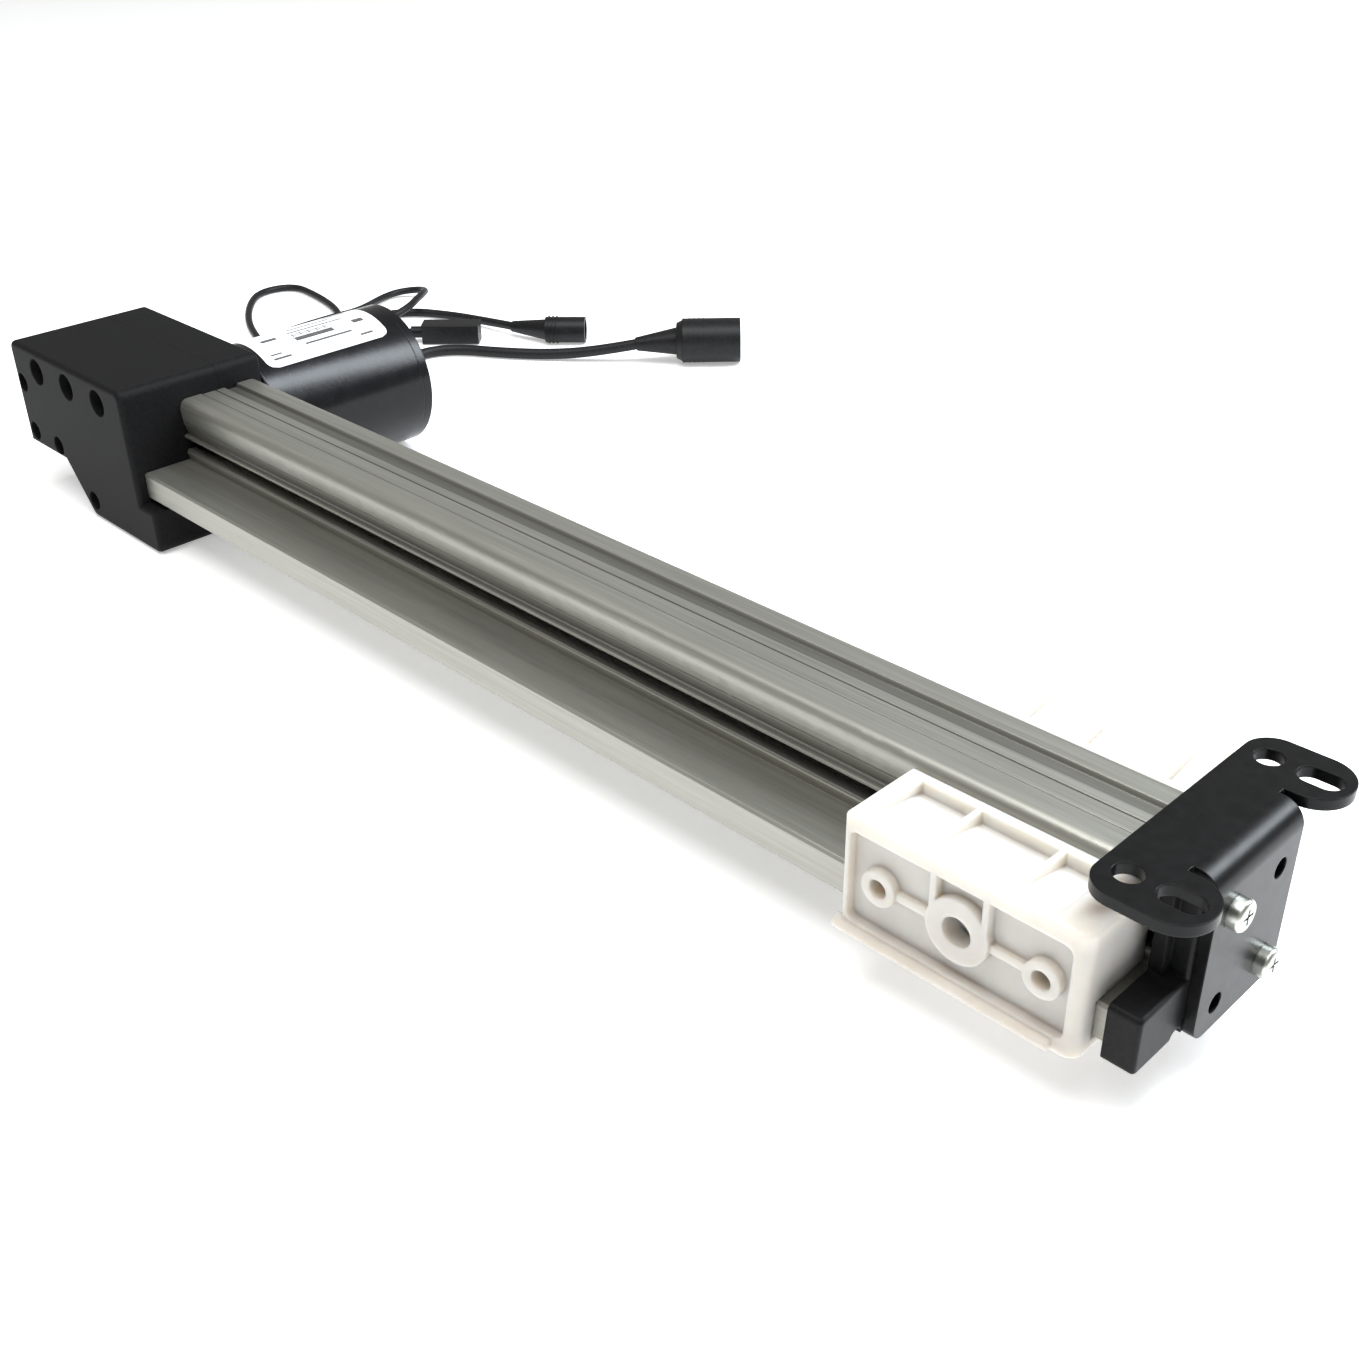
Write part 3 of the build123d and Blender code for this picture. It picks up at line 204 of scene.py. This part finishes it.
def make_materials():
    along_x = (0.02, 1, 1)
    materials = {
        "rail_aluminium": surface("rail_aluminium", (0.31, 0.305, 0.272), (0.39, 0.385, 0.345),
                                  grain=900, stretch=along_x, roughness=(0.36, 0.5), relief=0.2,
                                  depth=0.00003, Metallic=0.85),
        "housing_plastic": surface("housing_plastic", (0.005, 0.005, 0.0056), (0.01, 0.01, 0.0105),
                                   grain=700, roughness=(0.5, 0.64), relief=0.35, fine=0.4,
                                   depth=0.00008, edge=0.0008, Specular_IOR_Level=0.1),
        "screw_steel": surface("screw_steel", (0.46, 0.48, 0.43), (0.66, 0.68, 0.62), grain=500,
                               roughness=(0.22, 0.4), relief=0.2, edge=0.0003, Metallic=1.0),
        "bearing_steel": surface("bearing_steel", (0.5, 0.5, 0.5), (0.65, 0.65, 0.65), grain=400,
                                 roughness=(0.2, 0.32), Metallic=1.0),
        "bush_bronze": surface("bush_bronze", (0.36, 0.22, 0.1), (0.5, 0.33, 0.16), grain=900,
                               roughness=(0.4, 0.6), Metallic=1.0),
        "motor_paint": surface("motor_paint", (0.004, 0.004, 0.005), (0.008, 0.008, 0.009),
                               grain=120, roughness=(0.16, 0.24), relief=0.1, fine=0.04,
                               depth=0.0002, edge=0.0006, Specular_IOR_Level=0.22),
        "magnet_ferrite": surface("magnet_ferrite", (0.03, 0.03, 0.03), (0.07, 0.07, 0.07),
                                  grain=800, roughness=(0.6, 0.8)),
        "board": surface("board", (0.01, 0.12, 0.04), (0.02, 0.2, 0.07), grain=300,
                         roughness=(0.3, 0.45)),
        "carbon": surface("carbon", (0.02, 0.02, 0.02), (0.04, 0.04, 0.04), grain=900,
                          roughness=(0.5, 0.7)),
        "copper": surface("copper", (0.6, 0.26, 0.13), (0.75, 0.4, 0.24), grain=700,
                          roughness=(0.25, 0.4), Metallic=1.0),
        "core_steel": surface("core_steel", (0.16, 0.16, 0.17), (0.32, 0.32, 0.34), grain=1200,
                              stretch=(0.1, 1, 0.1), roughness=(0.4, 0.6), Metallic=0.9),
        "shaft_steel": surface("shaft_steel", (0.5, 0.5, 0.5), (0.66, 0.66, 0.66), grain=900,
                               stretch=(0.1, 1, 1), roughness=(0.2, 0.34), Metallic=1.0),
        "gear_plastic": surface("gear_plastic", (0.66, 0.6, 0.44), (0.78, 0.73, 0.58), grain=200,
                                roughness=(0.4, 0.55)),
        "nut_plastic": surface("nut_plastic", (0.03, 0.06, 0.2), (0.05, 0.1, 0.3), grain=300,
                               roughness=(0.35, 0.5)),
        "slider_nylon": surface("slider_nylon", (0.72, 0.685, 0.63), (0.80, 0.775, 0.73), grain=60,
                                roughness=(0.34, 0.48), relief=0.15, fine=0.06, depth=0.0002,
                                edge=0.0012, Subsurface_Weight=0.9,
                                Subsurface_Radius=(1.0, 0.8, 0.6), Subsurface_Scale=0.006),
        "cap_plastic": surface("cap_plastic", (0.006, 0.006, 0.0065), (0.012, 0.012, 0.0125),
                               grain=700, roughness=(0.34, 0.48), relief=0.3, fine=0.2,
                               edge=0.0008, Specular_IOR_Level=0.12),
        "bracket_steel": surface("bracket_steel", (0.002, 0.002, 0.0022), (0.005, 0.005, 0.0052),
                                 grain=260, roughness=(0.26, 0.38), relief=0.2, fine=0.08,
                                 depth=0.0001, edge=0.0005, Specular_IOR_Level=0.2),
        "switch_plastic": surface("switch_plastic", (0.02, 0.02, 0.022), (0.03, 0.03, 0.034),
                                  grain=500, roughness=(0.25, 0.35)),
        "cable_sheath": surface("cable_sheath", (0.006, 0.006, 0.0065), (0.013, 0.013, 0.014),
                                grain=500, roughness=(0.4, 0.55), relief=0.25, edge=0.0,
                                Specular_IOR_Level=0.22),
        "plug_plastic": surface("plug_plastic", (0.006, 0.006, 0.0065), (0.012, 0.012, 0.013),
                                grain=500, roughness=(0.34, 0.46), relief=0.2, fine=0.15,
                                edge=0.0006, Specular_IOR_Level=0.2),
        "label_paper": surface("label_paper", (0.80, 0.81, 0.82), (0.88, 0.88, 0.88), grain=90,
                               roughness=(0.3, 0.42), relief=0.06, edge=0.0),
        "label_print": surface("label_print", (0.05, 0.05, 0.05), (0.12, 0.12, 0.12), grain=900,
                               roughness=(0.4, 0.5), relief=0.05, edge=0.0),
    }
    # Painted shade: dark lines in the two scores and a shadow in the channel across the rail's
    # top, then painted shade in the cove and the slot of its flank.
    add_painted_shade(materials["rail_aluminium"], "Y", (-10, 10),
             [(-7.6, 1.0), (-7.4, 0.45), (-7.0, 0.45), (-6.8, 1.0), (-1.6, 1.0), (-1.4, 0.45),
              (-1.1, 0.45), (-0.9, 1.0), (2.2, 1.0), (2.6, 0.5), (7.6, 0.62), (8.0, 1.0)])
    add_painted_shade(materials["rail_aluminium"], "Z", (26, 50),
             [(29.3, 1.0), (29.6, 0.72), (31.5, 0.9), (39.2, 1.0), (39.6, 0.42), (43.5, 0.7),
              (48.0, 1.0)])
    # Painted shade: the carriage's sides are darker than its top, most towards the bottom.
    add_painted_shade(materials["slider_nylon"], "Z", (14, 52), [(20.0, 0.74), (45.0, 0.82), (49.5, 1.0)])
    return materials


def paint(thing, material):
    """Give every face of a piece one material."""
    thing.data.materials.clear()
    thing.data.materials.append(material)


# ---------------------------------------------------------------- cables
CABLE_EXIT_Z = 36.6
BOOT_FACE = 34.0
LINK_Z, HANDSET_Z, SUPPLY_Z = 1.8, 2.1, 2.6

LINK_ROUTE = [
    (-80.0, BOOT_FACE, CABLE_EXIT_Z),
    (-80.0, 47.0, CABLE_EXIT_Z),
    (-81.5, 64.0, 28.0),
    (-86.0, 82.0, 14.5),
    (-96.0, 98.0, LINK_Z),
    (-122.0, 107.5, LINK_Z),
    (-150.0, 110.0, LINK_Z),
    (-176.0, 118.0, LINK_Z),
    (-201.0, 128.0, LINK_Z),
    (-226.0, 144.0, LINK_Z),
    (-243.0, 161.0, LINK_Z),
    (-238.0, 180.5, LINK_Z),
    (-215.0, 179.0, LINK_Z),
    (-192.0, 174.5, LINK_Z),
    (-176.0, 168.0, LINK_Z),
    (-158.0, 157.0, LINK_Z),
    (-146.5, 144.0, LINK_Z),
    (-143.5, 130.5, LINK_Z),
    (-150.5, 120.5, LINK_Z),
    (-162.5, 120.0, 2.2),
    (-170.0, 129.0, 3.0),
    (-169.0, 142.0, 4.2),
    (-162.0, 154.0, 7.0),
    (-160.5, 167.0, 7.2),
    (-167.5, 179.0, 5.4),
    (-176.5, 190.5, 3.2),
    (-183.0, 202.0, 2.2),
    (-183.5, 212.0, 2.6),
    (-176.0, 219.0, 3.8),
    (-165.5, 217.0, 6.0),
    (-156.0, 209.0, 8.6),
    (-147.5, 199.0, 10.0),
    (-140.5, 188.0, 9.2),
    (-139.5, 175.5, 6.8),
    (-138.0, 162.5, 5.2),
    (-129.5, 160.8, 5.0),
    (-117.6, 172.0, 5.0),
]
HANDSET_ROUTE = [
    (-69.5, BOOT_FACE, CABLE_EXIT_Z),
    (-69.5, 48.0, CABLE_EXIT_Z),
    (-71.0, 66.0, 27.0),
    (-75.5, 84.0, 13.5),
    (-83.5, 102.0, HANDSET_Z),
    (-100.0, 129.0, HANDSET_Z),
    (-124.0, 146.0, HANDSET_Z),
    (-146.0, 160.0, HANDSET_Z),
    (-160.0, 177.0, HANDSET_Z),
    (-152.0, 197.0, HANDSET_Z),
    (-131.0, 207.5, HANDSET_Z),
    (-108.0, 211.5, 3.2),
    (-87.0, 213.4, 4.6),
]
SUPPLY_ROUTE = [
    (-58.0, BOOT_FACE, CABLE_EXIT_Z),
    (-58.0, 49.0, CABLE_EXIT_Z),
    (-60.0, 68.0, 26.0),
    (-64.5, 88.0, 12.5),
    (-70.5, 108.0, SUPPLY_Z),
    (-78.0, 133.0, SUPPLY_Z),
    (-89.0, 146.0, SUPPLY_Z),
    (-94.0, 161.0, SUPPLY_Z),
    (-86.0, 176.0, SUPPLY_Z),
    (-66.0, 187.0, SUPPLY_Z),
    (-46.0, 201.5, SUPPLY_Z),
    (-28.0, 216.0, 4.6),
    (-12.0, 229.0, 8.8),
]


def cable(name, node, route, diameter):
    """Free cable on its route, replacing its CAD node."""
    curve = bpy.data.curves.new(name, "CURVE")
    curve.dimensions = "3D"
    curve.bevel_depth = diameter / 2 * MM
    curve.bevel_resolution = 6
    curve.resolution_u = 10
    curve.use_fill_caps = True
    spline = curve.splines.new("NURBS")
    spline.points.add(len(route) - 1)
    for point, place in zip(spline.points, route):
        point.co = (*[value * MM for value in place], 1)
    spline.order_u = 3
    spline.use_endpoint_u = True
    piece = bpy.data.objects.new(name, curve)
    bpy.context.scene.collection.objects.link(piece)
    paint(piece, MATERIALS["cable_sheath"])
    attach(piece, "frame")
    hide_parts(node)


# ---------------------------------------------------------------- mesh pieces
def new_piece(name, verts, faces, material, body):
    """Smooth mesh piece that rides on a body and takes one material."""
    mesh = bpy.data.meshes.new(name)
    mesh.from_pydata(verts, [], faces)
    mesh.polygons.foreach_set("use_smooth", [True] * len(faces))
    mesh.update()
    piece = bpy.data.objects.new(name, mesh)
    bpy.context.scene.collection.objects.link(piece)
    paint(piece, MATERIALS[material])
    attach(piece, body)
    return piece


def lathe(name, profile, start, direction, material, lobes=0, lobe_depth=0.0):
    """Turned piece: profile holds (distance along, radius) in mm from start along direction."""
    segments = 40
    axis = Vector(direction).normalized()
    side = axis.cross(Vector((0, 0, 1))).normalized()
    up = side.cross(axis)
    verts = []
    for along, radius in profile:
        for step in range(segments):
            angle = 2 * math.pi * step / segments
            wave = 1.0 - lobe_depth * (0.5 - 0.5 * math.cos(lobes * angle))
            spoke = (side * math.cos(angle) + up * math.sin(angle)) * radius * wave
            verts.append((Vector(start) + axis * along + spoke) * MM)
    faces = []
    for ring in range(len(profile) - 1):
        for step in range(segments):
            after = (step + 1) % segments
            faces.append((ring * segments + step, ring * segments + after,
                          (ring + 1) * segments + after, (ring + 1) * segments + step))
    faces.append(tuple(range(segments))[::-1])
    last = (len(profile) - 1) * segments
    faces.append(tuple(range(last, last + segments)))
    piece = new_piece(name, verts, faces, material, "frame")
    piece.modifiers.new("edges", "EDGE_SPLIT").split_angle = math.radians(40)


MOTOR_X, MOTOR_Z, MOTOR_RADIUS = -20.5, 29.5, 29.2


def on_can(y, angle, lift):
    """Point in metres on the motor can, with angle in degrees up from the +X side."""
    radius = MOTOR_RADIUS + lift
    turn = math.radians(angle)
    return ((MOTOR_X + radius * math.cos(turn)) * MM, y * MM,
            (MOTOR_Z + radius * math.sin(turn)) * MM)


def can_patch(name, y_range, angles, lift, material, corner=0.0):
    """Thin sheet wrapped on the motor can, with rounded corners."""
    along, around = 24, 36
    arc = math.radians(angles[1] - angles[0]) * MOTOR_RADIUS
    middle = sum(y_range) / 2
    verts = []
    for row in range(around + 1):
        share = row / around
        edge = corner - min(share, 1 - share) * arc
        inset = corner - math.sqrt(corner ** 2 - edge ** 2) if edge > 0 else 0.0
        half = (y_range[1] - y_range[0]) / 2 - inset
        for step in range(along + 1):
            y = middle + half * (2 * step / along - 1)
            verts.append(on_can(y, angles[0] + share * (angles[1] - angles[0]), lift))
    faces = []
    for row in range(around):
        for step in range(along):
            first = row * (along + 1) + step
            faces.append((first, first + 1, first + along + 2, first + along + 1))
    new_piece(name, verts, faces, material, "frame")


def motor_label():
    """White rating label with plain generic bars in place of lettering."""
    paper_lift, print_lift = 0.08, 0.12
    stroke_count, first_stroke, stroke_step = 14, 44.5, 1.25
    can_patch("motor_label", (25.0, 82.0), (53.0, 122.0), paper_lift, "label_paper", corner=4.0)
    # Each bar is (start, end) in mm along the can and (low, high) in degrees round it.
    bars = [(29, 37, 60, 62), (29, 34, 65, 66.5), (44, 62, 74, 79), (46, 68, 67, 69),
            (31, 38, 84, 88), (44, 70, 88, 89.5), (46, 66, 95, 96.5), (70, 76, 60, 62),
            (72, 77, 76, 81), (66, 76, 102, 104)]
    for number, (start, end, low, high) in enumerate(bars):
        can_patch(f"label_bar_{number}", (start, end), (low, high), print_lift, "label_print")
    for number in range(stroke_count):
        start = first_stroke + number * stroke_step
        can_patch(f"label_stroke_{number}", (start, start + 0.35 + 0.3 * (number % 3 == 0)),
                  (80.5, 85.5), print_lift, "label_print")


def threaded_spindle():
    """Spindle with its trapezoid thread, in place of the plain CAD one."""
    pitch, outer, root, journal = 3.0, 5.98, 4.6, 4.0
    segments, steps_per_turn = 24, 8
    thread_start, thread_end, centre_z = -30.0, 408.0, 43.5
    # Each station is (x, radius, 1 where the thread is cut or 0 where it isn't).
    stations = [(-40.9, journal, 0), (-34.0, journal, 0), (-34.0, outer, 0),
                (thread_start, outer, 0)]
    count = int((thread_end - thread_start) / pitch * steps_per_turn)
    for step in range(count):
        stations.append((thread_start + (step + 1) * pitch / steps_per_turn, outer, 1))
    stations += [(thread_end + 0.5, outer, 0), (411.9, outer, 0), (412.0, journal, 0),
                 (422.4, journal, 0)]
    verts = []
    for x, radius, cut in stations:
        for step in range(segments):
            turn = step / segments
            phase = (x / pitch - turn) % 1.0
            depth = min(max(abs(phase - 0.5) * 4 - 0.5, 0.0), 1.0) * (outer - root) * cut
            angle = 2 * math.pi * turn
            verts.append((x * MM, (radius - depth) * math.cos(angle) * MM,
                          (centre_z + (radius - depth) * math.sin(angle)) * MM))
    faces = []
    for ring in range(len(stations) - 1):
        for step in range(segments):
            after = (step + 1) % segments
            faces.append((ring * segments + step, (ring + 1) * segments + step,
                          (ring + 1) * segments + after, ring * segments + after))
    faces.append(tuple(range(segments)))
    last = (len(stations) - 1) * segments
    faces.append(tuple(range(last, last + segments))[::-1])
    piece = new_piece("threaded_spindle", verts, faces, "shaft_steel", "spindle")
    piece.modifiers.new("edges", "EDGE_SPLIT").split_angle = math.radians(50)
    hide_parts("spindle")


def boot_rings():
    """Ribs round each cable boot at the gearbox."""
    rib_count, first_rib, rib_step, boot_start = 5, 1.0, 2.2, 21.2
    for name, x, radius in (("link", -80.0, 2.5), ("handset", -69.5, 2.8), ("supply", -58.0, 3.3)):
        profile = [(0.0, radius + 0.2)]
        for rib in range(rib_count):
            start = first_rib + rib * rib_step
            proud = radius + 1.5 - 0.22 * rib
            profile += [(start, radius), (start + 0.2, proud), (start + 1.2, proud),
                        (start + 1.4, radius)]
        profile.append((12.4, radius))
        lathe(f"{name}_boot_ribs", profile, (x, boot_start, CABLE_EXIT_Z), (0, 1, 0),
              "plug_plastic")


def plug_details():
    """Grip rings on the two round plugs and a collar on the larger one."""
    handset = Vector((-66.6, 217.8, 6.4))
    handset_way = Vector((0.74, 0.673, 0))
    for number, along in enumerate((1.2, 3.2, 5.2)):
        lathe(f"handset_grip_{number}",
              [(along, 6.2), (along + 0.2, 6.75), (along + 0.9, 6.75), (along + 1.1, 6.2)],
              handset, handset_way, "plug_plastic")
    supply = Vector((4.4, 244.0, 10.6))
    supply_way = Vector((0.707, 0.707, 0))
    lathe("supply_collar", [(-3.0, 7.0), (-2.8, 8.4), (-0.4, 9.6), (0.0, 10.0)],
          supply, supply_way, "plug_plastic")
    for number, along in enumerate((3.0, 5.2, 7.4, 9.6)):
        lathe(f"supply_grip_{number}",
              [(along, 10.3), (along + 0.2, 10.58), (along + 1.1, 10.58), (along + 1.3, 10.3)],
              supply, supply_way, "plug_plastic", lobes=20, lobe_depth=0.02)


# ---------------------------------------------------------------- making the scene
MATERIALS = make_materials()
add_camera()
add_studio()
add_floor()

for subpart in frame["record"]["subparts"]:
    paint(frame["nodes"][subpart["node"]], MATERIALS[subpart["material_slot"]])

for name, node, route, diameter, length, plug in (
        ("link_cord", "link_cable", LINK_ROUTE, 3.6, 590.0, "inline_plug"),
        ("handset_cord", "handset_cable", HANDSET_ROUTE, 4.2, 272.0, "handset_socket"),
        ("supply_cord", "supply_cable", SUPPLY_ROUTE, 5.2, 247.0, "supply_plug")):
    cable(name, node, route, diameter)

motor_label()
threaded_spindle()
boot_rings()
plug_details()
